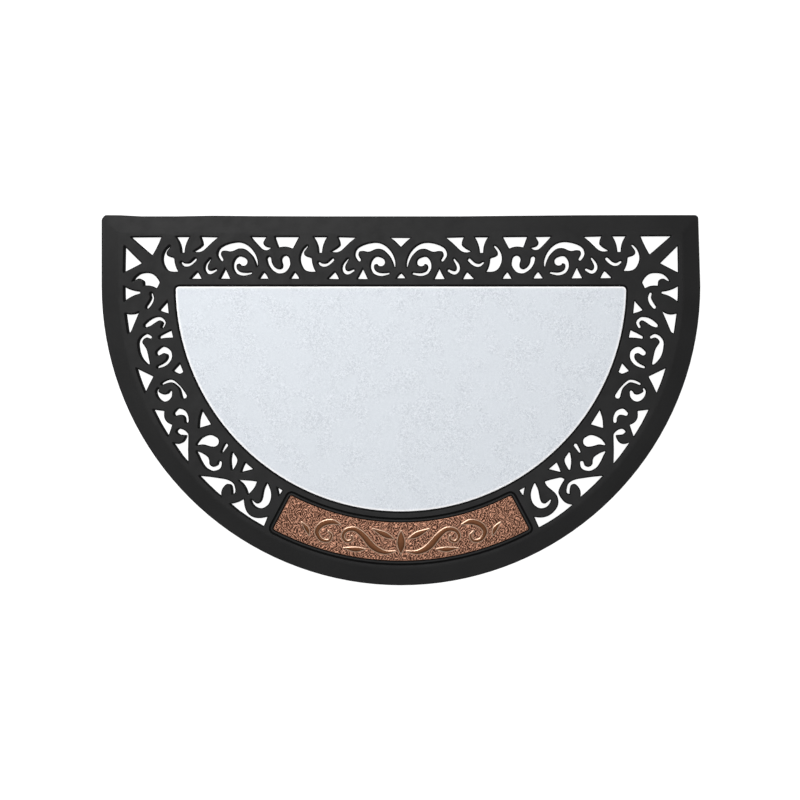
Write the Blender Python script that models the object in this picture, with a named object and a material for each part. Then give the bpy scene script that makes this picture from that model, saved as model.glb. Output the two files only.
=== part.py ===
"""Half-round rubber doormat: a moulded openwork mat, a felt insert and a copper-coloured plaque.

Units are metres and +Z is up. The mat lies flat on Z = 0 with its straight side towards +Y,
and the origin is the middle of its underside. Motif tables are in millimetres, because that
is how a pattern maker would mark them on the border.
"""
import math
from collections import namedtuple

import bmesh
import bpy
from mathutils import Vector

MM = 0.001

# Plan of the mat
MAT_WIDTH = 0.750
ARC_RADIUS = MAT_WIDTH / 2
STRAIGHT_SIDE = 0.087
RIM_SLOPE = 0.022
RIGHT_CORNER_LEAN = 0.0026
LEFT_CORNER_NICK = 0.0045
RIGHT_CORNER_ROUND = 0.004

# Heights
EDGE_HEIGHT = 0.003
MAT_HEIGHT = 0.007
TRAY_FLOOR = 0.003
PLAQUE_FLOOR = 0.0045
GROOVE_FLOOR = 0.0055
FELT_THICKNESS = 0.003
PLAQUE_THICKNESS = 0.0021
ORNAMENT_RAISE = 0.0007
GAP = 0.0003

# The border, the felt recess and the plaque seat share a centre a little below the outer arc's
PATTERN_DROP = 0.0008

# Openwork border: its outer line, and the line on which "along" is measured round the arc.
# Its motifs are drawn at the mould's size, and the rubber shrinks a little as it cools.
BORDER_RADIUS = 0.3468
BORDER_TOP = 0.0617
MEASURE_RADIUS = 0.3191
DRAWN_MM = 0.9975 * MM

# Felt recess and plaque seat
FELT_RADIUS = 0.2820
FELT_CORNER = 0.005
PLAQUE_INNER = 0.2951
PLAQUE_OUTER = 0.3430
PLAQUE_HALF_ANGLE = math.radians(27.8)
PLAQUE_CORNER = 0.0022
LIP_WIDTH = 0.0034
GROOVE_WIDTH = 0.0022

# How finely outlines are drawn
ARC_STEPS = 72
OUTLINE_TOLERANCE = 0.00023
CURVE_STEPS = 8
CORNER_STEPS = 4
WELD_DISTANCE = 0.00002
LONGEST_ROUNDING = 0.35
CUT_MARGIN = 0.002

# Rises of the wavy straight edge, from the left corner to the right one
EdgeRise = namedtuple("EdgeRise", "x rise")
EDGE_RISES = (
    EdgeRise(-0.375, 0.0016),
    EdgeRise(-0.352, 0.0014),
    EdgeRise(-0.325, 0.0),
    EdgeRise(-0.280, 0.0),
    EdgeRise(-0.235, 0.0008),
    EdgeRise(-0.185, 0.0003),
    EdgeRise(-0.100, 0.0),
    EdgeRise(0.075, 0.0),
    EdgeRise(0.140, 0.0007),
    EdgeRise(0.220, 0.0014),
    EdgeRise(0.300, 0.0016),
    EdgeRise(0.375, 0.0016),
)
HIGHEST_RISE = max(row.rise for row in EDGE_RISES)

# Where the border under that edge rises with it
BORDER_RISES = (
    EdgeRise(-0.350, 0.0),
    EdgeRise(-0.250, 0.0006),
    EdgeRise(-0.120, 0.0004),
    EdgeRise(0.0, 0.0),
    EdgeRise(0.110, 0.0002),
    EdgeRise(0.190, 0.0009),
    EdgeRise(0.250, 0.0013),
    EdgeRise(0.350, 0.0016),
)
ARC_CENTRE = Vector((0, (ARC_RADIUS - STRAIGHT_SIDE - HIGHEST_RISE) / 2))
PATTERN_CENTRE = ARC_CENTRE - Vector((0, PATTERN_DROP))

# A motif is a hole in the border. "along" runs from the corner along the border, and "depth"
# from the border's outer line inwards. A stroke is a curved sweep through its stations.
# A wedge has corners, and the edge that leaves a corner bulges out by its bow.
Station = namedtuple("Station", "along depth width")
Corner = namedtuple("Corner", "along depth bow")
Stroke = namedtuple("Stroke", "name stations")
Wedge = namedtuple("Wedge", "name rounding corners")


def stroke(name, *rows):
    return Stroke(name, [Station(*row) for row in rows])


def wedge(name, rounding, *rows):
    return Wedge(name, rounding, [Corner(*row) for row in rows])


TOP_CORNER = (
    wedge("corner_triangle", 1.6, (8.4, 0.2, 0), (48.2, 0.2, 0.6), (36.2, 24.3, 0)),
)

TOP_UNIT = (
    wedge("leaf", 1.4, (58.3, 10.3, 1.4), (49.4, 21.5, 1.5), (50.6, 36.5, 1.6), (60.0, 44.2, 0.4),
          (69.4, 44.4, -1.6), (64.2, 26.4, -8.0), (60.0, 12.6, 0)),
    wedge("tooth", 1.3, (65.3, 0.2, 0), (83.8, 0.2, -1.9), (76.9, 20.8, 0), (71.8, 20.8, -2.2)),
    wedge("hooked_tooth", 1.3, (95.8, 0.2, 0), (121.0, 0.2, -0.8), (102.8, 16.2, 0.8),
          (94.0, 20.3, 0.3), (86.2, 18.6, 0), (94.6, 14.6, 0), (98.9, 10.6, -0.8)),
    stroke("smile", (72.6, 32.8, 3.4), (77.2, 35.9, 4.4), (83.5, 34.8, 4.6), (89.8, 29.0, 4.8)),
    wedge("foot_triangle", 1.4, (83.0, 53.3, 0.3), (92.6, 43.6, 0.6), (98.5, 53.6, 0)),
    stroke("crescent", (108.9, 28.2, 2.8), (104.2, 35.2, 4.4), (103.8, 41.6, 5.0), (108.4, 45.4, 5.0),
           (115.8, 42.2, 3.8)),
    wedge("small_spire", 1.4, (119.8, 53.3, -0.5), (127.4, 37.8, -0.4), (134.8, 53.5, 0)),
    stroke("arch", (123.4, 29.3, 4.4), (119.9, 23.0, 5.2), (121.6, 17.0, 5.4), (127.4, 14.2, 7.8),
           (134.4, 13.7, 11.0), (143.5, 11.2, 8.8), (153.6, 13.2, 6.6), (162.4, 21.5, 5.2),
           (166.7, 31.0, 3.9), (167.6, 37.4, 2.2)),
    stroke("spiral", (150.2, 31.7, 11.4), (144.7, 29.8, 10.4), (140.0, 33.8, 6.0), (139.8, 40.2, 4.8),
           (143.8, 45.5, 4.6), (151.5, 47.5, 4.2), (160.2, 46.0, 3.0)),
)
TOP_UNIT_REPEAT = 172.3

TOP_LINKS = (
    wedge("hooked_link", 1.2, (158.9, 0.2, 0), (180.0, 0.2, -0.3), (175.4, 7.6, -1.4), (181.4, 13.4, 0),
          (186.0, 14.0, 0.3), (180.5, 17.8, 0.6), (173.5, 16.0, 0.3)),
    wedge("foot_link", 1.2, (169.4, 53.2, 0.4), (175.8, 44.0, 0.8), (182.2, 53.3, 0)),
    stroke("cup", (182.3, 28.0, 6.4), (183.6, 34.2, 5.8), (188.0, 40.3, 5.4), (194.5, 43.7, 5.8),
           (200.8, 41.8, 7.6), (204.0, 35.6, 10.4), (203.0, 29.2, 11.4)),
    wedge("capital", 1.3, (189.0, 0.2, 0), (220.6, 0.2, 0), (212.2, 15.8, -2.2), (194.3, 14.6, 0)),
    wedge("second_foot_link", 1.2, (208.4, 53.3, 0.4), (214.4, 44.0, 0.8), (220.9, 53.3, 0)),
)

SIDE_MOTIFS = (
    wedge("side_triangle", 1.4, (10.6, 0.8, 0), (45.3, 0.2, 0), (33.2, 23.6, 0)),
    wedge("side_leaf", 1.3, (56.3, 10.7, 1.0), (46.4, 19.0, 1.2), (45.6, 36.0, 1.4), (57.5, 46.0, 0),
          (65.2, 42.0, -2.0), (62.0, 25.4, 0), (55.3, 25.0, -2.6), (55.2, 14.4, 0)),
    wedge("side_tooth", 1.3, (61.3, 0.2, 0), (80.4, 0.2, -1.6), (71.2, 21.4, 0), (68.2, 21.4, -1.4)),
    stroke("side_smile", (71.6, 34.8, 4.0), (77.0, 36.0, 4.6), (83.4, 33.2, 5.4), (88.2, 28.9, 5.0)),
    wedge("side_foot", 1.3, (81.0, 54.8, 0), (93.3, 42.8, 0.5), (99.8, 55.0, 0)),
    wedge("side_hooked_tooth", 1.2, (92.8, 0.2, 0), (117.0, 0.4, 0.4), (115.4, 5.0, 0),
          (90.6, 20.6, -3.4)),
    stroke("side_crescent", (116.0, 44.6, 4.0), (110.5, 47.6, 4.4), (105.0, 44.0, 4.8),
           (105.2, 36.8, 7.0), (108.6, 29.4, 8.0), (110.8, 24.2, 5.4)),
    wedge("side_spire", 1.2, (121.9, 55.2, 0.3), (127.2, 37.4, 0), (131.0, 37.6, -1.0),
          (133.6, 55.4, 0)),
    stroke("side_arch", (126.2, 27.6, 4.2), (123.4, 23.3, 5.0), (125.0, 17.3, 4.8), (130.0, 13.4, 6.0),
           (138.5, 14.2, 10.4), (145.5, 14.8, 10.2), (152.0, 15.8, 7.4), (157.0, 17.0, 3.6)),
    stroke("side_spiral", (147.8, 32.8, 7.4), (145.6, 39.6, 8.8), (150.2, 45.0, 7.4), (157.2, 44.7, 6.2),
           (162.4, 39.8, 5.6), (164.6, 33.2, 4.8), (164.8, 26.8, 3.6)),
    wedge("step_triangle", 1.2, (168.4, 54.6, 0), (175.4, 42.4, 0.5), (183.2, 50.0, 0),
          (182.4, 55.0, 0)),
    wedge("outer_spike", 1.4, (157.2, 0.2, 0.3), (189.6, 0.3, -0.4), (173.8, 18.2, 0)),
    stroke("thin_arc", (186.2, 24.4, 3.4), (185.8, 31.2, 4.2), (187.6, 37.4, 4.0), (193.2, 41.0, 3.6),
           (199.4, 43.2, 3.6), (205.5, 43.6, 5.2), (212.0, 43.2, 7.4)),
    stroke("hook_smile", (199.6, 30.2, 4.6), (203.2, 26.4, 7.4), (203.5, 20.4, 9.4), (198.6, 15.9, 7.6),
           (192.6, 14.8, 4.0), (190.0, 17.4, 2.8)),
    wedge("bitten_spike", 1.4, (209.0, 0.5, 0.3), (246.0, 0.3, 0), (236.2, 13.4, -5.0),
          (217.2, 13.4, 0)),
    stroke("comma", (226.8, 23.6, 6.0), (226.8, 28.8, 8.6), (231.2, 33.0, 6.8), (237.5, 33.0, 5.4),
           (242.0, 30.6, 5.2)),
    wedge("hooked_spike", 1.2, (252.0, 0.3, 0), (286.0, 0.2, 0), (256.6, 23.6, 1.4), (245.0, 19.2, 1.2),
          (245.6, 11.4, 0), (250.8, 12.8, 0), (255.8, 20.0, -6.2)),
    wedge("inner_fin", 1.4, (239.2, 54.6, 1.2), (257.8, 37.6, 0), (263.6, 53.8, 0)),
    stroke("dome", (273.2, 24.4, 2.8), (274.4, 32.6, 9.6), (279.0, 39.6, 15.2), (283.6, 42.8, 14.0)),
    stroke("slit", (298.2, 51.6, 5.6), (299.6, 47.0, 4.8), (301.0, 42.4, 3.2)),
    stroke("hooked_leaf", (280.3, 18.6, 2.6), (285.2, 19.5, 6.4), (293.5, 19.5, 11.0),
           (301.2, 16.8, 7.4), (308.6, 19.2, 5.8), (311.8, 25.8, 6.0), (309.2, 31.0, 5.6)),
    stroke("lens", (312.0, 50.4, 3.4), (320.0, 45.0, 9.8), (326.0, 36.4, 3.4)),
    wedge("small_fin", 1.2, (332.4, 53.4, 0.6), (337.2, 40.0, -0.2), (348.2, 53.6, 0)),
    wedge("great_spike", 1.2, (302.2, 0.3, 0.8), (324.3, 18.6, 0.8), (335.6, 23.9, 1.2),
          (344.9, 20.4, 0.6), (348.6, 15.0, 0), (346.0, 11.4, -0.9), (338.6, 19.3, -0.8),
          (333.5, 17.1, -3.1), (340.2, 0.3, 0)),
    stroke("last_scroll", (374.0, 48.6, 2.8), (378.2, 42.4, 9.4), (382.4, 36.0, 11.8),
           (384.6, 28.8, 11.0), (383.0, 22.2, 8.4), (378.0, 18.7, 5.6), (372.8, 19.2, 4.2),
           (369.4, 20.6, 2.6)),
    wedge("last_chip", 1.0, (387.0, 52.2, 0), (396.8, 52.6, 0.2), (395.6, 42.6, 0)),
)

# The two sides differ in one place: on the left a bridge parts the hole beside the last scroll
LEFT_MOTIFS = (
    wedge("upper_flare", 1.2, (338.8, 29.8, 0.8), (361.5, 44.2, 2.0), (361.6, 23.0, -3.4)),
    wedge("lower_flare", 1.2, (350.0, 0.3, 0.5), (398.8, 0.3, 0), (397.0, 15.0, -12.0),
          (360.8, 17.2, -1.5)),
)
RIGHT_MOTIFS = (
    wedge("joined_flare", 1.2, (339.0, 29.9, 1.0), (342.6, 36.4, 0.6), (361.6, 44.2, 0.4),
          (363.0, 36.6, -0.2), (359.6, 24.6, -2.3), (366.8, 9.2, -5.8), (397.0, 15.0, 0),
          (398.6, -0.8, 0.6), (350.4, -0.8, -0.8), (356.6, 8.0, -1.0), (355.6, 22.6, -1.2)),
)

CENTRE_MOTIFS = (
    wedge("centre_triangle", 1.4, (-14.8, 0.3, 0), (14.8, 0.3, -0.8), (0, 13.3, -0.8)),
    wedge("centre_foot", 1.2, (-6.3, 52.3, 0.6), (0, 45.0, 0.6), (6.3, 52.3, 0)),
)

# The plaque's raised ornament: "along" runs from its middle, "depth" from its outer edge
ORNAMENT_MOTIFS = (
    stroke("main_scroll", (6.5, 12.0, 2.6), (20.0, 10.0, 6.5), (34.0, 15.5, 9.0), (46.5, 27.0, 8.5),
           (59.0, 34.0, 7.0), (70.0, 31.0, 6.0), (73.0, 22.5, 5.2), (67.0, 17.0, 4.6),
           (61.0, 20.5, 4.2), (62.0, 25.0, 3.8)),
    stroke("upper_leaf", (9.0, 27.5, 2.4), (20.5, 32.0, 8.5), (37.0, 38.0, 2.4)),
    stroke("lower_leaf", (43.0, 12.0, 2.4), (54.0, 9.5, 7.5), (69.0, 8.5, 2.4)),
    stroke("outer_scroll", (79.5, 36.0, 2.6), (91.0, 36.5, 7.0), (102.0, 30.0, 8.0),
           (105.5, 19.5, 7.0), (98.0, 11.5, 5.6), (88.5, 12.5, 4.8), (86.5, 20.0, 4.2),
           (91.5, 23.5, 3.6)),
    stroke("tail_leaf", (112.5, 11.5, 2.2), (118.0, 18.0, 7.0), (127.5, 23.5, 2.0)),
)
CENTRE_ORNAMENT = (
    wedge("lozenge", 1.0, (0, 7.0, 1.0), (6.0, 23.0, 1.0), (0, 40.0, 1.0), (-6.0, 23.0, 1.0)),
)


def smooth_chain(rows):
    """Points of a smooth curve through the rows, whatever numbers a row holds."""
    ends = [tuple(2 * a - b for a, b in zip(rows[0], rows[1]))]
    tail = [tuple(2 * a - b for a, b in zip(rows[-1], rows[-2]))]
    knots = ends + [tuple(row) for row in rows] + tail
    chain = []
    for before, start, end, after in zip(knots, knots[1:], knots[2:], knots[3:]):
        for step in range(CURVE_STEPS):
            t = step / CURVE_STEPS
            chain.append(tuple(
                0.5 * (2 * b + (c - a) * t + (2 * a - 5 * b + 4 * c - d) * t ** 2
                       + (3 * b - a - 3 * c + d) * t ** 3)
                for a, b, c, d in zip(before, start, end, after)))
    chain.append(knots[-2])
    return chain


def stroke_outline(motif):
    """Both sides of the swept spine, with a half round at each end."""
    spine = smooth_chain(motif.stations)
    left, right, headings = [], [], []
    for index, (along, depth, width) in enumerate(spine):
        before = spine[max(index - 1, 0)]
        after = spine[min(index + 1, len(spine) - 1)]
        heading = Vector((after[0] - before[0], after[1] - before[1])).normalized()
        headings.append(heading)
        normal = Vector((-heading.y, heading.x)) * width / 2
        left.append(Vector((along, depth)) + normal)
        right.append(Vector((along, depth)) - normal)

    def cap(centre, heading, width):
        start = math.atan2(heading.y, heading.x) + math.pi / 2
        turn = math.pi / (2 * CORNER_STEPS)
        angles = [start - turn * step for step in range(1, 2 * CORNER_STEPS)]
        return [Vector(centre) + Vector((math.cos(a), math.sin(a))) * width / 2 for a in angles]

    end_cap = cap(spine[-1][:2], headings[-1], spine[-1][2])
    start_cap = cap(spine[0][:2], -headings[0], spine[0][2])
    return left + end_cap + right[::-1] + start_cap


def bowed_edge(start, end, bow, t):
    """A point on the edge from start to end, which stands out by bow at its middle."""
    chord = end - start
    outward = Vector((chord.y, -chord.x)).normalized()
    return start + chord * t + outward * bow * 4 * t * (1 - t)


def wedge_outline(motif):
    """The bowed edges between the corners. A rounding takes at most a set share of an edge."""
    corners = [Vector((row.along, row.depth)) for row in motif.corners]
    area = sum(a.cross(b) for a, b in zip(corners, corners[1:] + corners[:1]))
    turn = 1 if area > 0 else -1
    edges = []
    for row, start, end in zip(motif.corners, corners, corners[1:] + corners[:1]):
        inset = min(motif.rounding / (end - start).length, LONGEST_ROUNDING)
        ts = [inset + (1 - 2 * inset) * step / CURVE_STEPS for step in range(CURVE_STEPS + 1)]
        edges.append([bowed_edge(start, end, row.bow * turn, t) for t in ts])
    outline = []
    for edge, corner, following in zip(edges, corners[1:] + corners[:1], edges[1:] + edges[:1]):
        outline += edge
        for step in range(1, CORNER_STEPS):
            t = step / CORNER_STEPS
            outline.append(edge[-1] * (1 - t) ** 2 + corner * 2 * t * (1 - t) + following[0] * t ** 2)
    return outline


def motif_outline(motif):
    return stroke_outline(motif) if isinstance(motif, Stroke) else wedge_outline(motif)


def thinned(points, tolerance):
    """The closed outline without the points that its shape doesn't need."""
    def keep(first, last):
        chord = points[last % len(points)] - points[first]
        span = chord.length or 1.0
        worst, where = 0.0, None
        for index in range(first + 1, last):
            offset = abs(chord.cross(points[index] - points[first])) / span
            if offset > worst:
                worst, where = offset, index
        if worst <= tolerance:
            return [points[first]]
        return keep(first, where) + keep(where, last)

    half = max(range(len(points)), key=lambda i: (points[i] - points[0]).length)
    return keep(0, half) + keep(half, len(points))


def on_top_border(along, depth):
    return PATTERN_CENTRE + Vector((along * DRAWN_MM - BORDER_RADIUS, BORDER_TOP - depth * DRAWN_MM))


def on_side_border(along, depth):
    """Down the straight side, then round the arc."""
    radius = BORDER_RADIUS - depth * DRAWN_MM
    past_straight = along * DRAWN_MM - BORDER_TOP
    if past_straight <= 0:
        return PATTERN_CENTRE + Vector((-radius, -past_straight))
    angle = past_straight / MEASURE_RADIUS
    return PATTERN_CENTRE - Vector((math.cos(angle), math.sin(angle))) * radius


def on_centre_line(along, depth):
    return PATTERN_CENTRE + Vector((along * DRAWN_MM, BORDER_TOP - depth * DRAWN_MM))


def on_plaque(along, depth):
    radius = PLAQUE_OUTER - depth * MM
    angle = along * MM / MEASURE_RADIUS
    return PATTERN_CENTRE + Vector((math.sin(angle), -math.cos(angle))) * radius


def placed(motif, place, mirror=1, shift=0.0):
    points = [place(point.x + shift, point.y) for point in motif_outline(motif)]
    return thinned([Vector((mirror * point.x, point.y)) for point in points], OUTLINE_TOLERANCE)


def border_rise(x):
    """How far the border under the straight edge stands above its level run at x."""
    for start, end in zip(BORDER_RISES, BORDER_RISES[1:]):
        if start.x <= x <= end.x:
            return start.rise + (end.rise - start.rise) * (x - start.x) / (end.x - start.x)
    raise ValueError("x is outside the border")


def openwork_outlines():
    top = [placed(motif, on_centre_line) for motif in CENTRE_MOTIFS]
    sides = []
    for mirror, own_motifs in ((1, LEFT_MOTIFS), (-1, RIGHT_MOTIFS)):
        for motif in TOP_CORNER + TOP_UNIT + TOP_LINKS:
            top.append(placed(motif, on_top_border, mirror))
        for motif in TOP_UNIT:
            top.append(placed(motif, on_top_border, mirror, TOP_UNIT_REPEAT))
        for motif in SIDE_MOTIFS + own_motifs:
            sides.append(placed(motif, on_side_border, mirror))
    return [[Vector((point.x, point.y + border_rise(point.x))) for point in outline]
            for outline in top] + sides


def ornament_outlines():
    outlines = [placed(motif, on_plaque) for motif in CENTRE_ORNAMENT]
    for mirror in (1, -1):
        outlines += [placed(motif, on_plaque, mirror) for motif in ORNAMENT_MOTIFS]
    return outlines


def arc(centre, radius, start, end, steps):
    angles = [start + (end - start) * step / steps for step in range(steps + 1)]
    return [centre + Vector((math.cos(a), math.sin(a))) * radius for a in angles]


def mat_outline():
    """Half circle, straight sides and the wavy straight edge, anticlockwise."""
    lower = arc(ARC_CENTRE, ARC_RADIUS, math.pi, 2 * math.pi, ARC_STEPS)
    edge_y = ARC_CENTRE.y + STRAIGHT_SIDE
    upper = [Vector((row.x, edge_y + row.rise)) for row in reversed(EDGE_RISES)]
    upper[0].x -= RIGHT_CORNER_LEAN
    return lower + upper


def half_disc_outline(radius, grow):
    """Half disc below the pattern's centre with small round corners, grown all round by grow."""
    corner = FELT_CORNER + grow
    reach = radius + grow
    corner_x = math.sqrt((radius - FELT_CORNER) ** 2 - FELT_CORNER ** 2)
    tilt = math.asin(FELT_CORNER / (radius - FELT_CORNER))
    right = PATTERN_CENTRE + Vector((corner_x, -FELT_CORNER))
    left = PATTERN_CENTRE + Vector((-corner_x, -FELT_CORNER))
    bottom = arc(PATTERN_CENTRE, reach, math.pi + tilt, 2 * math.pi - tilt, ARC_STEPS)
    return (bottom[1:-1] + arc(right, corner, -tilt, math.pi / 2, CORNER_STEPS)
            + arc(left, corner, math.pi / 2, math.pi + tilt, CORNER_STEPS))


def plaque_outline(grow):
    """Curved panel round the pattern's centre with small round corners, grown all round by grow."""
    steps = ARC_STEPS // 3
    down = -math.pi / 2
    points = []
    for radius, side in ((PLAQUE_OUTER, -1), (PLAQUE_OUTER, 1), (PLAQUE_INNER, 1), (PLAQUE_INNER, -1)):
        inward = -1 if radius == PLAQUE_OUTER else 1
        centre_radius = radius + inward * PLAQUE_CORNER
        turn = PLAQUE_HALF_ANGLE - PLAQUE_CORNER / centre_radius
        angle = down + side * turn
        centre = PATTERN_CENTRE + Vector((math.cos(angle), math.sin(angle))) * centre_radius
        outward = angle if radius == PLAQUE_OUTER else angle + math.pi
        sweep = math.pi / 4
        middle = outward + side * -inward * sweep
        points.append(arc(centre, PLAQUE_CORNER + grow, middle - sweep, middle + sweep, CORNER_STEPS))
    outer_turn = PLAQUE_HALF_ANGLE - PLAQUE_CORNER / (PLAQUE_OUTER - PLAQUE_CORNER)
    inner_turn = PLAQUE_HALF_ANGLE - PLAQUE_CORNER / (PLAQUE_INNER + PLAQUE_CORNER)
    outer_edge = arc(PATTERN_CENTRE, PLAQUE_OUTER + grow, down - outer_turn, down + outer_turn, steps)
    inner_edge = arc(PATTERN_CENTRE, PLAQUE_INNER - grow, down + inner_turn, down - inner_turn, steps)
    return (points[0] + outer_edge[1:-1] + points[1] + points[2] + inner_edge[1:-1] + points[3])


def clear_scene():
    for old in list(bpy.data.objects):
        bpy.data.objects.remove(old)


def new_collection(name):
    collection = bpy.data.collections.new(name)
    bpy.context.scene.collection.children.link(collection)
    return collection


def new_material(name, colour, roughness, metallic=0.0):
    material = bpy.data.materials.new(name)
    material.use_nodes = True
    shader = material.node_tree.nodes["Principled BSDF"]
    shader.inputs["Base Color"].default_value = (*colour, 1.0)
    shader.inputs["Roughness"].default_value = roughness
    shader.inputs["Metallic"].default_value = metallic
    return material


def flat_plate(name, outlines, bottom, top, collection):
    """A filled flat curve drawn to a thickness, made into a mesh with welded caps."""
    curve = bpy.data.curves.new(name, "CURVE")
    curve.dimensions = "2D"
    curve.fill_mode = "BOTH"
    curve.extrude = (top - bottom) / 2
    for outline in outlines:
        spline = curve.splines.new("POLY")
        spline.points.add(len(outline) - 1)
        for knot, point in zip(spline.points, outline):
            knot.co = (point.x, point.y, 0, 1)
        spline.use_cyclic_u = True
    drawn = bpy.data.objects.new(name + "_curve", curve)
    drawn.location.z = (top + bottom) / 2
    collection.objects.link(drawn)
    bpy.context.view_layer.update()
    mesh = bpy.data.meshes.new_from_object(drawn.evaluated_get(bpy.context.evaluated_depsgraph_get()))
    sheet = bmesh.new()
    sheet.from_mesh(mesh)
    bmesh.ops.remove_doubles(sheet, verts=sheet.verts, dist=WELD_DISTANCE)
    bmesh.ops.recalc_face_normals(sheet, faces=sheet.faces)
    sheet.to_mesh(mesh)
    sheet.free()
    mesh.name = name
    plate = bpy.data.objects.new(name, mesh)
    plate.matrix_world = drawn.matrix_world
    collection.objects.link(plate)
    bpy.data.objects.remove(drawn)
    return plate


def as_cutter(cutter):
    cutter.hide_render = True
    cutter.display_type = "WIRE"
    return cutter


def combine(target, other, operation):
    modifier = target.modifiers.new(other.name, "BOOLEAN")
    modifier.operation = operation
    modifier.solver = "EXACT"
    modifier.object = other


def make_blank(collection):
    """The mat before anything is cut: a plate whose rim slopes up all round."""
    blank = bmesh.new()
    base = blank.faces.new([blank.verts.new((point.x, point.y, 0)) for point in mat_outline()])
    base.normal_update()
    raised = bmesh.ops.extrude_face_region(blank, geom=[base])
    lifted = [item for item in raised["geom"] if isinstance(item, bmesh.types.BMVert)]
    bmesh.ops.translate(blank, verts=lifted, vec=(0, 0, EDGE_HEIGHT))
    top = [item for item in raised["geom"] if isinstance(item, bmesh.types.BMFace)]
    bmesh.ops.inset_region(blank, faces=top, thickness=RIM_SLOPE, depth=MAT_HEIGHT - EDGE_HEIGHT,
                           use_even_offset=True)
    bmesh.ops.recalc_face_normals(blank, faces=blank.faces)
    mesh = bpy.data.meshes.new("rubber_frame")
    blank.to_mesh(mesh)
    blank.free()
    frame = bpy.data.objects.new("rubber_frame", mesh)
    collection.objects.link(frame)
    return frame


def corner_trims():
    """What is missing at the two straight corners: a nick at the left, a round at the right."""
    edge_y = ARC_CENTRE.y + STRAIGHT_SIDE + HIGHEST_RISE
    beyond = 0.01
    nick = LEFT_CORNER_NICK
    left = Vector((-ARC_RADIUS, edge_y))
    left_trim = [left + Vector(step) for step in ((-beyond, -nick - beyond), (nick + beyond, beyond),
                                                  (-beyond, beyond))]
    right = Vector((ARC_RADIUS - RIGHT_CORNER_LEAN, edge_y))
    centre = right - Vector((RIGHT_CORNER_ROUND, RIGHT_CORNER_ROUND))
    right_trim = arc(centre, RIGHT_CORNER_ROUND, 0, math.pi / 2, CORNER_STEPS)
    right_trim += [right + Vector((-RIGHT_CORNER_ROUND, beyond)), right + Vector((beyond, beyond)),
                   right + Vector((beyond, -RIGHT_CORNER_ROUND))]
    return [left_trim, right_trim]


def make_frame(parts, cutters, rubber):
    frame = make_blank(parts)
    frame.data.materials.append(rubber)
    above = MAT_HEIGHT + CUT_MARGIN
    below = -CUT_MARGIN
    groove = [plaque_outline(LIP_WIDTH + GROOVE_WIDTH), plaque_outline(LIP_WIDTH)]
    cuts = (
        ("corner_trims", corner_trims(), below),
        ("felt_recess", [half_disc_outline(FELT_RADIUS, GAP)], TRAY_FLOOR),
        ("plaque_seat", [plaque_outline(GAP)], PLAQUE_FLOOR),
        ("plaque_groove", groove, GROOVE_FLOOR),
        ("openwork", openwork_outlines(), below),
    )
    for name, outlines, floor in cuts:
        combine(frame, as_cutter(flat_plate(name, outlines, floor, above, cutters)), "DIFFERENCE")
    return frame


def make_felt(parts, felt):
    bottom = TRAY_FLOOR + GAP
    insert = flat_plate("felt_insert", [half_disc_outline(FELT_RADIUS, 0)], bottom,
                        bottom + FELT_THICKNESS, parts)
    insert.data.materials.append(felt)
    return insert


def make_plaque(parts, cutters, copper):
    bottom = PLAQUE_FLOOR + GAP
    top = bottom + PLAQUE_THICKNESS
    plaque = flat_plate("copper_plaque", [plaque_outline(0)], bottom, top, parts)
    plaque.data.materials.append(copper)
    sunk = PLAQUE_THICKNESS / 2
    ornament = flat_plate("ornament", ornament_outlines(), top - sunk, top + ORNAMENT_RAISE, cutters)
    combine(plaque, as_cutter(ornament), "UNION")
    return plaque


def main():
    clear_scene()
    parts = new_collection("half_round_doormat")
    cutters = new_collection("cutters")
    rubber = new_material("black_rubber", colour=(0.022, 0.022, 0.023), roughness=0.55)
    felt = new_material("pale_felt", colour=(0.72, 0.75, 0.80), roughness=0.95)
    copper = new_material("copper_finish", colour=(0.26, 0.13, 0.085), roughness=0.38, metallic=0.85)
    make_frame(parts, cutters, rubber)
    make_felt(parts, felt)
    make_plaque(parts, cutters, copper)


main()
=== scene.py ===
"""Looks of a half-round rubber doormat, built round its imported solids. Metres, +Z up.

The solids give every plan outline. This script gives those outlines soft edges, crinkles the
felt, pebbles the plaque, and makes the materials, the floor, the lights and the camera.
"""
import math

import bmesh
import bpy
import numpy as np
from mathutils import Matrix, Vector, kdtree, noise
from mathutils.geometry import delaunay_2d_cdt


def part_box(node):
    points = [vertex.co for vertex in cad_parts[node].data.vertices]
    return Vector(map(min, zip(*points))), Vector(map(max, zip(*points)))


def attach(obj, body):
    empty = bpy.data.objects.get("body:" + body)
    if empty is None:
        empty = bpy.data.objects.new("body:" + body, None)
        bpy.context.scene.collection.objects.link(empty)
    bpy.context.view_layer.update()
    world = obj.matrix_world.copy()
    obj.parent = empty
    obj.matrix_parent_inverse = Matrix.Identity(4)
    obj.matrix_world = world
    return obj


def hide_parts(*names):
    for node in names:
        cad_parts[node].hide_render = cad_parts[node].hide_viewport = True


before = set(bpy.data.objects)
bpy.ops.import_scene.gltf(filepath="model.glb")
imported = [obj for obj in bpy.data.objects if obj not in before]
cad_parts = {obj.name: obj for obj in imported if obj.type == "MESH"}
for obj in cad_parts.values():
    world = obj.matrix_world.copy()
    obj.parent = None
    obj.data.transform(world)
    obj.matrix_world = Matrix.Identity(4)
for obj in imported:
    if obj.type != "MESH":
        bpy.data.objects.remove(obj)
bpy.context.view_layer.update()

MM = 0.001
mat_low, mat_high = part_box("rubber_frame")
felt_low, felt_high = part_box("felt_insert")
plaque_low, plaque_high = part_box("copper_plaque")

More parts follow.
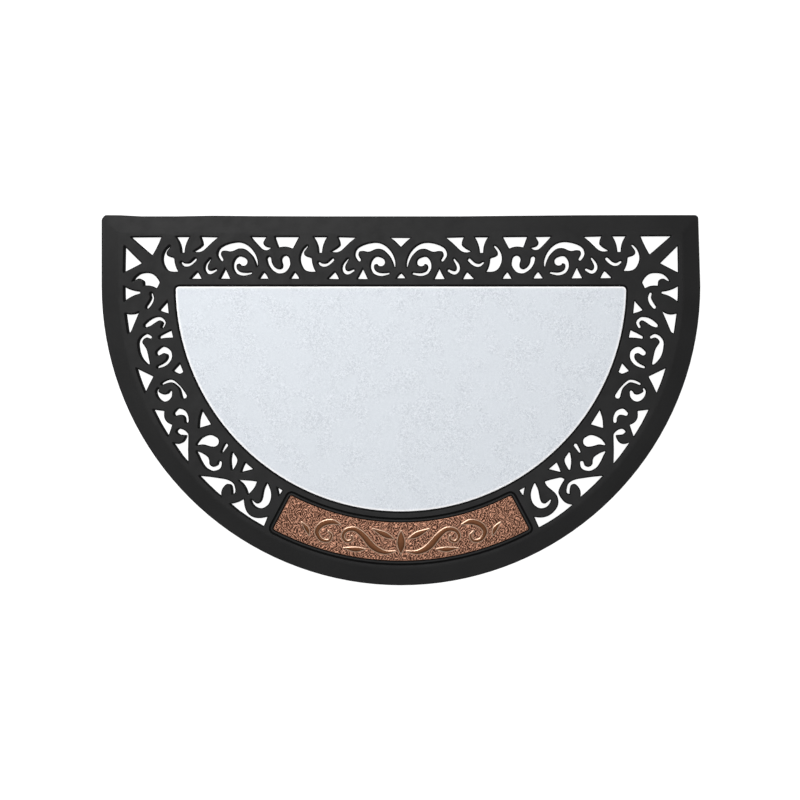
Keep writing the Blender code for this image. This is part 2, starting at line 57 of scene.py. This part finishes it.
# Heights that the solids' boxes don't give
SEAT_GAP = 0.3 * MM
EDGE_HEIGHT = 3.0 * MM
GROOVE_FLOOR = 5.5 * MM
ORNAMENT_RAISE = 0.7 * MM
TRAY_FLOOR = felt_low.z - SEAT_GAP
PLAQUE_FLOOR = plaque_low.z - SEAT_GAP
PLATE_TOP = plaque_high.z - ORNAMENT_RAISE

# Walls of the rubber: the brows' rounds, the holes' draft and lean, and how high marks fade in, which on
# the rubber are painted shade
HOLE_ROUND = 2.0 * MM
HOLE_DRAFT = 0.6 * MM
HOLE_LEAN = 1.2 * MM
RECESS_ROUND = 2.2 * MM
GROOVE_ROUND = 0.35 * MM
RIM_ROUND = 1.6 * MM
SHADE_FADE_IN = 0.4 * MM

# What the rubber gains at its holes and outer edge, where a bright floor spreads over it in the picture
HOLE_FLASH = 0.6 * MM
RIM_FLASH = 0.35 * MM

# How far outside the solid's the edge of the plaque's seat lies
SEAT_WIDER = 0.7 * MM

# Soft crest between the sloping rim and the top face: its reach each way, and how far its outer
# end and its middle lie below the top
CREST_SOFT = 1.2 * MM
CREST_END_DROP = 0.24 * MM
CREST_DROP = 0.07 * MM

# A full mark, and its shares at the steps of a brow. The finishes change with the mark: it paints shade on
# the rubber, a highlight on the felt's cut edge and the plaque's chamfers, and picks out the plaque's
# crowns.
MARKED = 1.0
BROW_MARKS = (1.0, 1.0, 0.95, 0.0)
BROW_STEPS = len(BROW_MARKS) - 1

# Ways that a brow runs from its outline
OUTWARDS, INWARDS = 1, -1

# Felt: how much smaller than the solid it is cut, its edge's round, the width of the painted highlight
# along its edge, and its mesh
FELT_INSET = 0.45 * MM
FELT_ROUND = 0.9 * MM
FELT_RIM = 2.2 * MM
FELT_MESH = 2.0 * MM

# Low waves of the felt, with ripples on them
FELT_WAVE = 14 * MM
FELT_WAVE_HEIGHT = 0.10 * MM
RIPPLES_PER_WAVE = 3
RIPPLE_SHARE = 0.4

# Plaque: its edge's round, its ground's mesh, and how far that keeps from outlines and fades near them
PLATE_ROUND = 0.4 * MM
GROUND_MESH = 0.52 * MM
GROUND_CLEARANCE = 0.7 * GROUND_MESH
GROUND_FADE = 2 * GROUND_MESH

# Pebbles of the ground: distances along and across the arc, size of the noise that shifts their
# rows, height, and centre of the arc
PEBBLE_ALONG = 4.0 * MM
PEBBLE_ACROSS = 5.2 * MM
PEBBLE_DRIFT = 6.0 * MM
PEBBLE_HEIGHT = 0.62 * MM
ARC_CENTRE = Vector((0, felt_high.y))

# Ornament: mesh of its outlines, width of its chamfer, inset and rise of its crown
ORNAMENT_MESH = 2 * GROUND_MESH
CHAMFER = 1.2 * MM
CROWN_INSET = 1.44 * MM
CROWN_RISE = 0.12 * MM

# Shift at which the same noise gives a second, unlike value
SECOND_NOISE = Vector((7, 3, 0))

# Reading of plan outlines: points within WELD are one, and a level edge keeps within LEVEL of its
# height. A tilt is the upright share of a face's normal, and these are its least and greatest.
WELD = 0.002 * MM
LEVEL = 0.01 * MM
UPRIGHT = (0.0, 0.1)
SLOPING = (0.9, 0.999)

# Smoothing and moving of outlines: the turn that one step of a curve makes at most, the reach of
# the curve where the turn is sharp, and the greatest lengthening of a mitre
SOFT_TURN = math.radians(8)
SHARP_TURN = math.radians(45)
SHARP_REACH = 1.2 * MM
LONGEST_MITRE = 1.6

# Filling with triangles: how near its points may lie, and the option to fill only inside borders
FILL_TOLERANCE = WELD / 100
INSIDE_BORDERS = 1

# Smooth patches of a skin. Edges between two of them are crisp.
WALL, FLAT, SLOPE, CREASE, RELIEF = range(5)

# Finishes below: a RANGE is the stretch of a noise, of marks or of heights over which a look changes

# Rubber: colours, the darkest a painted shade on marked walls, brows and recess floors, least and greatest
# roughness, clouds, worn places, dents and a fine grain
RUBBER_DARK = (0.0066, 0.0066, 0.0068)
RUBBER_PALE = (0.0096, 0.0096, 0.0098)
# Painted shade that darkens the rubber's marked walls, brows and recess floors
RUBBER_PAINTED_SHADE = (0.0015, 0.0015, 0.0016)
RUBBER_ROUGHNESS = (0.54, 0.66)
CLOUD_SIZE, CLOUD_RANGE = 90 * MM, (0.35, 0.65)
WEAR_SIZE, WEAR_RANGE = 12 * MM, (0.3, 0.7)
DENT_SIZE, DENT_DEPTH = 7 * MM, 0.12 * MM
GRAIN_SIZE, GRAIN_DEPTH = 0.9 * MM, 0.05 * MM

# Felt: colours, of which the crinkle's hollow one is painted shade and its peak one painted highlight,
# crinkle, patches and the crinkle's shares in them, and fibres that lie two ways
FELT_HOLLOW_SHADE = (0.472, 0.502, 0.542)
FELT_RIDGE_HIGHLIGHT = (0.649, 0.677, 0.711)
FELT_PLAIN = (0.560, 0.590, 0.626)
# Painted highlight along the felt's marked cut edge
FELT_EDGE_HIGHLIGHT = (0.80, 0.80, 0.81)
EDGE_HIGHLIGHT_RANGE = (0.0, 0.9)
CRINKLE_SIZE, CRINKLE_DEPTH, CRINKLE_RANGE = 2.0 * MM, 0.6 * MM, (0.36, 0.64)
PATCH_SIZE, PATCH_RANGE = 24 * MM, (0.38, 0.6)
CRINKLE_SHARES = (0.25, 1.0)
FIBRE_SIZE, FIBRE_DEPTH = 0.55 * MM, 0.10 * MM
FIBRE_ANGLES = (0.4, -0.7)
FIBRE_SQUEEZE = 0.16

# Plaque: colours, of which the pit one is painted shade and the peak and chamfer ones painted highlight,
# roughness off and on its crowns, marks of chamfers and crowns, specks and pebbles
COPPER_PIT_SHADE = (0.015, 0.0045, 0.0022)
COPPER_PEAK_HIGHLIGHT = (0.455, 0.234, 0.156)
COPPER_SPECK = (0.112, 0.044, 0.024)
COPPER_CHAMFER_HIGHLIGHT = (0.70, 0.48, 0.35)
COPPER_RAISED = (0.088, 0.034, 0.0145)
COPPER_ROUGHNESS = (0.34, 0.42)
CHAMFER_RANGE, CROWN_RANGE = (0.05, 0.25), (0.7, 1.0)
SPECK_SIZE, SPECK_DEPTH, SPECK_RANGE = 0.7 * MM, 0.05 * MM, (0.50, 0.63)
# Heights over which the painted shade of the pits turns to the painted highlight of the peaks
PEBBLE_RANGE = (PLATE_TOP - 0.3 * PEBBLE_HEIGHT, PLATE_TOP + 0.4 * PEBBLE_HEIGHT)

# Floor, and a sky that brightens towards the horizon over a band of heights, given as sines
WHITE = (1, 1, 1, 1)
FLOOR_COLOUR = (0.30, 0.30, 0.30, 1)
FLOOR_GLOW = 0.82
FLOOR_WIDTH = 60
FLOOR_DROP = 0.05 * MM
SKY_STRENGTH = 0.335
HORIZON_STRENGTH = 0.94
HORIZON_BAND = (0.16, 0.30)

# Area lights: name, place, size and watts. They all face the mat's middle.
MIDDLE = Vector((0, 0, 0))
LIGHTS = (
    ("key", (-0.42, 0.86, 1.35), (1.0, 1.0), 14),
    ("overhead", (0.0, 0.0, 1.9), (1.4, 1.4), 18),
    ("edge", (-0.95, 1.25, 0.45), (1.2, 0.25), 12),
)

# The view is straight down from CAMERA_HEIGHT, and VIEW_WIDTH of the floor fills it
CAMERA_HEIGHT = 1.20
VIEW_WIDTH = 1.0043
VIEW_CENTRE = (-0.0012, 0.0002)
SENSOR_WIDTH = 36

# A colour mix node's sockets by number, since several of them share a name
MIX_FACTOR, MIX_FIRST, MIX_SECOND, MIX_RESULT = 0, 6, 7, 2


def area_of(outline):
    """The outline's area, below zero where it runs clockwise."""
    return sum(a.cross(b) for a, b in zip(outline, outline[1:] + outline[:1])) / 2


def outlines(node, height, tilts):
    """Plan outlines where the node's level face at this height meets faces of these tilts.

    They are anticlockwise, and the largest comes first.
    """
    solid = bmesh.new()
    solid.from_mesh(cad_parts[node].data)
    bmesh.ops.remove_doubles(solid, verts=solid.verts, dist=WELD)
    links = {}
    for edge in solid.edges:
        if any(abs(vert.co.z - height) > LEVEL for vert in edge.verts):
            continue
        steeper, flatter = sorted(abs(face.normal.z) for face in edge.link_faces)
        if flatter > SLOPING[1] and tilts[0] <= steeper <= tilts[1]:
            for vert, other in (edge.verts, reversed(edge.verts)):
                links.setdefault(vert, []).append(other)
    found = []
    while links:
        first = here = next(iter(links))
        last = None
        loop = []
        while here in links:
            loop.append(here.co.xy.copy())
            one, other = links.pop(here)
            last, here = here, (other if one == last else one)
        assert here == first
        found.append(loop if area_of(loop) > 0 else loop[::-1])
    solid.free()
    return sorted(found, key=area_of, reverse=True)


def softened(outline):
    """The outline with a short parabola in place of each vertex."""
    points = []
    for before, corner, after in zip(outline[-1:] + outline[:-1], outline, outline[1:] + outline[:1]):
        back, on = before - corner, after - corner
        turn = math.pi - back.angle(on)
        steps = math.ceil(turn / SOFT_TURN)
        if steps < 2:
            points.append(corner)
            continue
        reach = min(back.length, on.length) / 2
        if turn > SHARP_TURN:
            reach = min(reach, SHARP_REACH)
        start = corner + back.normalized() * reach
        end = corner + on.normalized() * reach
        for step in range(steps + 1):
            t = step / steps
            point = start * (1 - t) ** 2 + corner * 2 * t * (1 - t) + end * t ** 2
            if not points or (point - points[-1]).length > WELD:
                points.append(point)
    if (points[0] - points[-1]).length < WELD:
        points.pop()
    return points


def spaced(outline, step):
    """The outline with points added so that none are further apart than step."""
    points = []
    for start, end in zip(outline, outline[1:] + outline[:1]):
        count = math.ceil((end - start).length / step)
        points += [start.lerp(end, index / count) for index in range(count)]
    return points


def cross(first, second):
    """The plane cross products of two arrays' rows."""
    return first[:, 0] * second[:, 1] - first[:, 1] * second[:, 0]


def uncrossed(points):
    """Where the closed outline crosses itself, the small loop is pulled into the crossing."""
    count = len(points)
    with np.errstate(divide="ignore", invalid="ignore"):
        for gap in range(2, count // 2):
            edge = np.roll(points, -1, axis=0) - points
            other = np.roll(edge, -gap, axis=0)
            between = np.roll(points, -gap, axis=0) - points
            along = cross(between, other) / cross(edge, other)
            along_other = cross(between, edge) / cross(edge, other)
            met = (along > 0) & (along < 1) & (along_other > 0) & (along_other < 1)
            for index in np.flatnonzero(met):
                loop = np.arange(index + 1, index + gap + 1) % count
                points[loop] = points[index] + edge[index] * along[index]
    return points


def grown(outline, distance):
    """The outline moved outwards by distance, as far as its bends leave room."""
    points = np.array(outline)
    ahead = np.roll(points, -1, axis=0) - points
    ahead /= np.linalg.norm(ahead, axis=1)[:, None]
    outward = np.stack([ahead[:, 1], -ahead[:, 0]], axis=1)
    mitre = outward + np.roll(outward, 1, axis=0)
    mitre *= np.minimum(2 / (mitre ** 2).sum(axis=1), LONGEST_MITRE)[:, None]
    return [Vector(point) for point in uncrossed(points + mitre * distance)]


def resized(outline, distance):
    """The outline moved outwards, without the points that then repeat the one before."""
    moved = grown(outline, distance)
    return [point for before, point in zip(moved[-1:] + moved[:-1], moved)
            if (point - before).length > WELD]


class Skin:
    """A mesh made ring by ring: a ring is an outline at a height, and every point has a mark."""

    def __init__(self):
        self.points = []
        self.marks = []
        self.faces = []
        self.patches = []
        self.creases = []

    def add(self, places, marks):
        first = len(self.points)
        self.points += places
        self.marks += marks
        return list(range(first, len(self.points)))

    def ring(self, outline, height, mark=0.0):
        return self.add([(*point, height) for point in outline], [mark] * len(outline))

    def strip(self, lower, upper, patch):
        for quad in zip(lower, lower[1:] + lower[:1], upper[1:] + upper[:1], upper):
            self.faces.append(quad)
            self.patches.append(patch)

    def fill(self, outer, holes=(), patch=FLAT, inner=()):
        """Triangles inside the outer ring and outside the holes, through the inner points."""
        rings = [outer, *holes]
        used = [index for ring in rings for index in ring] + list(inner)
        order = {index: place for place, index in enumerate(used)}
        flat = [Vector(self.points[index][:2]) for index in used]
        borders = [[order[index] for index in ring] for ring in rings]
        creases = [(order[a], order[b]) for a, b in self.creases if a in order and b in order]
        _, _, triangles, origins, _, owners = delaunay_2d_cdt(flat, creases, borders, INSIDE_BORDERS,
                                                              FILL_TOLERANCE)
        # A triangle's owners are the borders round it, and the outer one is border 0
        for triangle, owner in zip(triangles, owners):
            if owner == [0]:
                self.faces.append([used[origins[corner][0]] for corner in triangle])
                self.patches.append(patch)

    def wall(self, outline, floor, top, radius, side, mark=0.0, draft=0.0, lean=0.0, foot=0.0):
        """A wall that ends in a quarter round brow, which runs OUTWARDS or INWARDS of the outline.

        The wall's foot stands back by draft, and towards +X by lean. Its mark fades in over the
        lowest stretch, up to foot, and out again at the brow. The end rings are returned.
        """
        base = [point + Vector((lean, 0)) for point in grown(outline, side * draft)]
        rings = [self.ring(base, floor)] if foot else []
        rings.append(self.ring(base, floor + foot, mark))
        for step, share in enumerate(BROW_MARKS):
            angle = math.pi / 2 * step / BROW_STEPS
            moved = grown(outline, side * radius * (1 - math.cos(angle)))
            rings.append(self.ring(moved, top - radius + radius * math.sin(angle), mark * share))
        for lower, upper in zip(rings, rings[1:]):
            self.strip(lower, upper, WALL)
        return rings[0], rings[-1]

    def piece(self, name, finish):
        """The closed mesh as an object with this finish, which rides on the mat's one body."""
        mesh = bmesh.new()
        patch_of = mesh.faces.layers.int.new("patch")
        mark_of = mesh.verts.layers.float.new("mark")
        verts = [mesh.verts.new(point) for point in self.points]
        for vert, mark in zip(verts, self.marks):
            vert[mark_of] = mark
        for corners, patch in zip(self.faces, self.patches):
            face = mesh.faces.new([verts[index] for index in corners])
            face.smooth = True
            face[patch_of] = patch
        for a, b in self.creases:
            mesh.edges.get((verts[a], verts[b])).smooth = False
        bmesh.ops.remove_doubles(mesh, verts=mesh.verts, dist=WELD)
        bmesh.ops.dissolve_degenerate(mesh, edges=mesh.edges, dist=WELD)
        loose = [vert for vert in mesh.verts if not vert.link_faces]
        bmesh.ops.delete(mesh, geom=loose, context="VERTS")
        bmesh.ops.recalc_face_normals(mesh, faces=mesh.faces)
        for edge in mesh.edges:
            if len({face[patch_of] for face in edge.link_faces}) > 1:
                edge.smooth = False
        data = bpy.data.meshes.new(name)
        mesh.to_mesh(data)
        mesh.free()
        data.materials.append(finish)
        made = bpy.data.objects.new(name, data)
        bpy.context.scene.collection.objects.link(made)
        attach(made, "root")
        return made


def nearest(ring, points, place):
    """The index in the ring whose point is nearest to the place in plan."""
    return min(ring, key=lambda index: (Vector(points[index][:2]) - place).length)


def build_mat(finish):
    """The rubber moulding, from its foot over its rim and openwork to the seats of both inserts."""
    skin = Skin()
    outline = resized(softened(outlines("rubber_frame", mat_low.z, UPRIGHT)[0]), RIM_FLASH)
    crest = softened(outlines("rubber_frame", mat_high.z, SLOPING)[0])
    at_top = [softened(loop) for loop in outlines("rubber_frame", mat_high.z, UPRIGHT)]
    recess, groove_outside, groove_inside, seat, *holes = at_top
    holes = [resized(hole, -HOLE_FLASH) for hole in holes]

    # Outer edge, sloping rim and its soft crest
    # Walls and brows given MARKED take the rubber's painted shade
    foot, brow = skin.wall(outline, mat_low.z, EDGE_HEIGHT, RIM_ROUND, INWARDS, MARKED, foot=SHADE_FADE_IN)
    slope_end = skin.ring(grown(crest, CREST_SOFT), mat_high.z - CREST_END_DROP)
    ridge = skin.ring(crest, mat_high.z - CREST_DROP)
    top_start = skin.ring(grown(crest, -CREST_SOFT), mat_high.z)
    for side in (mat_low.x, mat_high.x):
        corner = Vector((side, mat_high.y))
        skin.creases.append(tuple(nearest(ring, skin.points, corner) for ring in (brow, slope_end)))
    skin.fill(brow, [slope_end], SLOPE)
    skin.strip(slope_end, ridge, CREASE)
    skin.strip(ridge, top_start, CREASE)

    # Openwork, felt recess, and the plaque's groove, lip and seat
    hole_rings = [skin.wall(hole, mat_low.z, mat_high.z, HOLE_ROUND, OUTWARDS, MARKED,
                            draft=HOLE_DRAFT, lean=HOLE_LEAN, foot=SHADE_FADE_IN) for hole in holes]
    hole_feet, hole_brows = zip(*hole_rings)
    tray, tray_brow = skin.wall(recess, TRAY_FLOOR, mat_high.z, RECESS_ROUND, OUTWARDS, MARKED)
    ditch, ditch_brow = skin.wall(groove_outside, GROOVE_FLOOR, mat_high.z, GROOVE_ROUND, OUTWARDS, MARKED)
    lip_foot, lip_brow = skin.wall(groove_inside, GROOVE_FLOOR, mat_high.z, GROOVE_ROUND, INWARDS, MARKED)
    seat_edge = resized(seat, SEAT_WIDER)
    bed, bed_brow = skin.wall(seat_edge, PLAQUE_FLOOR, mat_high.z, GROOVE_ROUND, OUTWARDS, MARKED)
    skin.fill(top_start, [*hole_brows, tray_brow, ditch_brow])
    skin.fill(foot, hole_feet)
    skin.fill(tray)
    skin.fill(ditch, [lip_foot])
    skin.fill(lip_brow, [bed_brow])
    skin.fill(bed)
    return skin.piece("rubber_mat", finish)


def honeycomb(low, high, step):
    """Points of a triangular net over the box."""
    row_step = step * math.sqrt(3) / 2
    rows = int((high.y - low.y) / row_step) + 1
    columns = int((high.x - low.x) / step) + 1
    return [Vector((low.x + (column + row % 2 / 2) * step, low.y + row * row_step))
            for row in range(rows) for column in range(columns)]


def clear_of(places, borders, clearance):
    """The places further than clearance from every border's points, each with that distance."""
    points = [point for border in borders for point in border]
    tree = kdtree.KDTree(len(points))
    for index, point in enumerate(points):
        tree.insert((*point, 0), index)
    tree.balance()
    return [(place, distance) for place in places
            if (distance := tree.find((*place, 0))[2]) > clearance]


def felt_relief(place):
    """Low waves of the sheet, uneven as in a felt that has been rolled."""
    wave = noise.noise(Vector((*place, 0)) / FELT_WAVE)
    ripple = noise.noise(Vector((*place, 1)) / FELT_WAVE * RIPPLES_PER_WAVE)
    return FELT_WAVE_HEIGHT * (wave + RIPPLE_SHARE * ripple)


def build_felt(finish):
    """The felt sheet, marked along its cut edge for a painted highlight."""
    skin = Skin()
    cut = resized(softened(outlines("felt_insert", felt_high.z, UPRIGHT)[0]), -FELT_INSET)
    cut = spaced(cut, FELT_MESH)
    base, brow = skin.wall(cut, felt_low.z, felt_high.z, FELT_ROUND, INWARDS, MARKED)
    inside = clear_of(honeycomb(felt_low, felt_high, FELT_MESH), [cut], FELT_ROUND + FELT_MESH / 2)
    places, marks = [], []
    for place, distance in inside:
        places.append((*place, felt_high.z + felt_relief(place)))
        marks.append(max(0.0, MARKED - (distance - FELT_ROUND) / FELT_RIM))
    for index in brow:
        skin.marks[index] = MARKED
    net = skin.add(places, marks)
    skin.fill(brow, patch=RELIEF, inner=net)
    skin.fill(base)
    return skin.piece("felt_sheet", finish)


def pebble(place):
    """Height of the ground over its middle at a place on the plaque, as a share of a pebble's."""
    offset = place - ARC_CENTRE
    azimuth = math.atan2(offset.x, -offset.y)
    drift = Vector((*place, 0)) / PEBBLE_DRIFT
    along = azimuth * offset.length / PEBBLE_ALONG + noise.noise(drift)
    across = offset.length / PEBBLE_ACROSS + noise.noise(drift + SECOND_NOISE)
    return 0.5 * math.cos(math.tau * along) * math.cos(math.tau * across)


def build_plaque(finish):
    """The plaque. Marks run up the ornament's chamfers, where they give a painted highlight, and are full
    on its crowns.
    """
    skin = Skin()
    plate, *ornament = outlines("copper_plaque", PLATE_TOP, UPRIGHT)
    plate = spaced(softened(plate), GROUND_MESH)
    ornament = [spaced(softened(loop), ORNAMENT_MESH) for loop in ornament]
    base, brow = skin.wall(plate, plaque_low.z, PLATE_TOP, PLATE_ROUND, INWARDS)
    feet = []
    for loop in ornament:
        foot = skin.ring(loop, PLATE_TOP)
        shoulder = skin.ring(grown(loop, -CHAMFER), plaque_high.z - CROWN_RISE, MARKED)
        crown = skin.ring(grown(loop, -CROWN_INSET), plaque_high.z, MARKED)
        skin.strip(foot, shoulder, WALL)
        skin.strip(shoulder, crown, CREASE)
        skin.fill(crown, patch=CREASE)
        feet.append(foot)
    ground = clear_of(honeycomb(plaque_low, plaque_high, GROUND_MESH), [plate, *ornament],
                      GROUND_CLEARANCE)
    places = []
    for place, distance in ground:
        fade = min(1.0, distance / GROUND_FADE)
        places.append((*place, PLATE_TOP + PEBBLE_HEIGHT * fade * pebble(place)))
    net = skin.add(places, [0.0] * len(places))
    skin.fill(brow, feet, RELIEF, net)
    skin.fill(base)
    return skin.piece("pebbled_plaque", finish)


class Finish:
    """A node material with one Principled shader, placed by object coordinates."""

    def __init__(self, name, **sockets):
        self.material = bpy.data.materials.new(name)
        self.material.use_nodes = True
        self.tree = self.material.node_tree
        self.shader = self.tree.nodes["Principled BSDF"]
        for socket, value in sockets.items():
            self.shader.inputs[socket.replace("_", " ")].default_value = value
        self.place = self.tree.nodes.new("ShaderNodeTexCoord").outputs["Object"]

    def node(self, kind, inputs=(), **settings):
        """A new node with these settings, its inputs linked to sockets or set to values."""
        made = self.tree.nodes.new(kind)
        for setting, value in settings.items():
            setattr(made, setting, value)
        for socket, value in dict(inputs).items():
            if isinstance(value, bpy.types.NodeSocket):
                self.tree.links.new(value, made.inputs[socket])
            else:
                made.inputs[socket].default_value = value
        return made

    def noise(self, size, detail=2, distortion=0.0, place=None):
        """Noise whose features are about this size in metres."""
        inputs = {"Vector": self.place if place is None else place, "Scale": 1 / size, "Detail": detail,
                  "Distortion": distortion}
        return self.node("ShaderNodeTexNoise", inputs).outputs["Fac"]

    def turned(self, angle, squeeze):
        """The place turned by angle, with its second coordinate squeezed, which draws noise out."""
        turned = self.node("ShaderNodeMapping", {"Vector": self.place, "Rotation": (0, 0, angle)})
        return self.node("ShaderNodeMapping", {"Vector": turned.outputs[0],
                                               "Scale": (1, squeeze, 1)}).outputs[0]

    def mix(self, factor, first, second):
        """Mixes two colours, each a triple or a socket."""
        first, second = ((*colour, 1) if isinstance(colour, tuple) else colour
                         for colour in (first, second))
        return self.node("ShaderNodeMix", {MIX_FACTOR: factor, MIX_FIRST: first, MIX_SECOND: second},
                         data_type="RGBA").outputs[MIX_RESULT]

    def range(self, value, source, target=(0.0, 1.0)):
        """The value from the source range, stretched over the target range and held at its ends."""
        inputs = {"Value": value, "From Min": source[0], "From Max": source[1],
                  "To Min": target[0], "To Max": target[1]}
        return self.node("ShaderNodeMapRange", inputs).outputs[0]

    def math(self, operation, first, second):
        return self.node("ShaderNodeMath", {0: first, 1: second}, operation=operation).outputs[0]

    def mark(self):
        return self.node("ShaderNodeAttribute", attribute_name="mark").outputs["Fac"]

    def bump(self, height, distance, strength=1.0, under=None):
        inputs = {"Height": height, "Distance": distance, "Strength": strength}
        if under is not None:
            inputs["Normal"] = under
        return self.node("ShaderNodeBump", inputs).outputs[0]

    def set(self, socket, value):
        self.tree.links.new(value, self.shader.inputs[socket])


def rubber_finish():
    """Matt rubber. Its marked walls and brows, and the floors of its recesses, are darkened by painted
    shade and duller.
    """
    finish = Finish("moulded_rubber", Specular_IOR_Level=0.2)
    clouds = finish.range(finish.noise(CLOUD_SIZE, detail=3), CLOUD_RANGE)
    open_face = finish.mix(clouds, RUBBER_DARK, RUBBER_PALE)
    # Painted shade: the mark turns walls, brows and recess floors near black
    finish.set("Base Color", finish.mix(finish.mark(), open_face, RUBBER_PAINTED_SHADE))
    worn = finish.range(finish.noise(WEAR_SIZE, detail=3), WEAR_RANGE, RUBBER_ROUGHNESS)
    finish.set("Roughness", finish.math("MAXIMUM", worn, finish.mark()))
    grain = finish.bump(finish.noise(GRAIN_SIZE, detail=4), GRAIN_DEPTH)
    finish.set("Normal", finish.bump(finish.noise(DENT_SIZE), DENT_DEPTH, under=grain))
    return finish.material


def felt_finish():
    """Pale felt, crinkled less in patches, with painted shade and highlight on the crinkle and a painted
    highlight on the marked cut edge.
    """
    finish = Finish("crinkled_felt", Roughness=0.95, Specular_IOR_Level=0.15, Sheen_Weight=0.08)
    crinkle = finish.noise(CRINKLE_SIZE, distortion=1.2)
    patches = finish.range(finish.noise(PATCH_SIZE), PATCH_RANGE, CRINKLE_SHARES)
    # Painted shade and highlight: the crinkle's hollows are darker and its ridges lighter, following its
    # bump
    crinkled = finish.mix(finish.range(crinkle, CRINKLE_RANGE), FELT_HOLLOW_SHADE, FELT_RIDGE_HIGHLIGHT)
    shade = finish.mix(patches, FELT_PLAIN, crinkled)
    # Painted highlight: the marked cut edge is lightened
    edge_highlight = finish.range(finish.mark(), EDGE_HIGHLIGHT_RANGE)
    finish.set("Base Color", finish.mix(edge_highlight, shade, FELT_EDGE_HIGHLIGHT))
    fibres = [finish.noise(FIBRE_SIZE, place=finish.turned(angle, FIBRE_SQUEEZE))
              for angle in FIBRE_ANGLES]
    fine = finish.bump(finish.math("MAXIMUM", *fibres), FIBRE_DEPTH, strength=0.5)
    relief = finish.math("MULTIPLY", crinkle, patches)
    finish.set("Normal", finish.bump(relief, CRINKLE_DEPTH, under=fine))
    return finish.material


def copper_finish():
    """Copper-coloured coat: painted shade in pits, painted highlight on peaks and chamfers, and dark
    crowns of the ornament.
    """
    finish = Finish("pebbled_copper", Metallic=0.8, Specular_IOR_Level=0.2)
    height = finish.node("ShaderNodeSeparateXYZ", {"Vector": finish.place}).outputs["Z"]
    # Painted shade and highlight: by height, the ground is dark in its pits and bright on its peaks
    pebbles = finish.mix(finish.range(height, PEBBLE_RANGE), COPPER_PIT_SHADE, COPPER_PEAK_HIGHLIGHT)
    specks = finish.range(finish.noise(SPECK_SIZE), SPECK_RANGE)
    ground = finish.mix(specks, pebbles, COPPER_SPECK)
    on_chamfer = finish.range(finish.mark(), CHAMFER_RANGE)
    on_crown = finish.range(finish.mark(), CROWN_RANGE)
    # Painted highlight: the ornament's marked chamfers are made pale cream
    chamfer_highlighted = finish.mix(on_chamfer, ground, COPPER_CHAMFER_HIGHLIGHT)
    finish.set("Base Color", finish.mix(on_crown, chamfer_highlighted, COPPER_RAISED))
    finish.set("Roughness", finish.range(on_crown, (0.0, 1.0), COPPER_ROUGHNESS))
    finish.set("Normal", finish.bump(finish.noise(SPECK_SIZE, detail=3), SPECK_DEPTH, strength=0.6))
    return finish.material


def build_floor():
    """A pale floor that glows, so that shadows on it are lost in white."""
    finish = Finish("pale_floor", Roughness=0.9, Specular_IOR_Level=0.1, Base_Color=FLOOR_COLOUR,
                    Emission_Color=WHITE, Emission_Strength=FLOOR_GLOW)
    bpy.ops.mesh.primitive_plane_add(size=FLOOR_WIDTH, location=(0, 0, -FLOOR_DROP))
    floor = bpy.context.object
    floor.name = "floor"
    floor.data.materials.append(finish.material)


def add_light(name, place, size, watts):
    """An unseen area light that faces the mat's middle."""
    data = bpy.data.lights.new(name, "AREA")
    data.shape = "RECTANGLE"
    data.size, data.size_y = size
    data.energy = watts
    light = bpy.data.objects.new(name, data)
    light.location = place
    light.rotation_euler = (MIDDLE - Vector(place)).to_track_quat("-Z", "Y").to_euler()
    light.visible_camera = False
    bpy.context.scene.collection.objects.link(light)


def add_world():
    """An even sky that is brighter low over the horizon."""
    world = bpy.data.worlds.new("studio")
    world.use_nodes = True
    nodes, links = world.node_tree.nodes, world.node_tree.links
    rise = nodes.new("ShaderNodeSeparateXYZ")
    links.new(nodes.new("ShaderNodeTexCoord").outputs["Generated"], rise.inputs[0])
    fade = nodes.new("ShaderNodeMapRange")
    links.new(rise.outputs["Z"], fade.inputs["Value"])
    limits = {"From Min": HORIZON_BAND[0], "From Max": HORIZON_BAND[1],
              "To Min": HORIZON_STRENGTH, "To Max": SKY_STRENGTH}
    for socket, value in limits.items():
        fade.inputs[socket].default_value = value
    background = nodes["Background"]
    background.inputs["Color"].default_value = WHITE
    links.new(fade.outputs[0], background.inputs["Strength"])
    bpy.context.scene.world = world


def add_camera():
    """The camera of the photograph, straight above the mat."""
    data = bpy.data.cameras.new("camera")
    data.sensor_width = SENSOR_WIDTH
    data.lens = SENSOR_WIDTH * CAMERA_HEIGHT / VIEW_WIDTH
    camera = bpy.data.objects.new("camera", data)
    camera.location = (*VIEW_CENTRE, CAMERA_HEIGHT)
    bpy.context.scene.collection.objects.link(camera)
    bpy.context.scene.camera = camera


def main():
    mat = build_mat(rubber_finish())
    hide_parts("rubber_frame")
    felt = build_felt(felt_finish())
    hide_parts("felt_insert")
    plaque = build_plaque(copper_finish())
    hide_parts("copper_plaque")

    build_floor()
    add_world()
    for light in LIGHTS:
        add_light(*light)
    add_camera()
    bpy.context.scene.view_settings.view_transform = "Standard"


main()
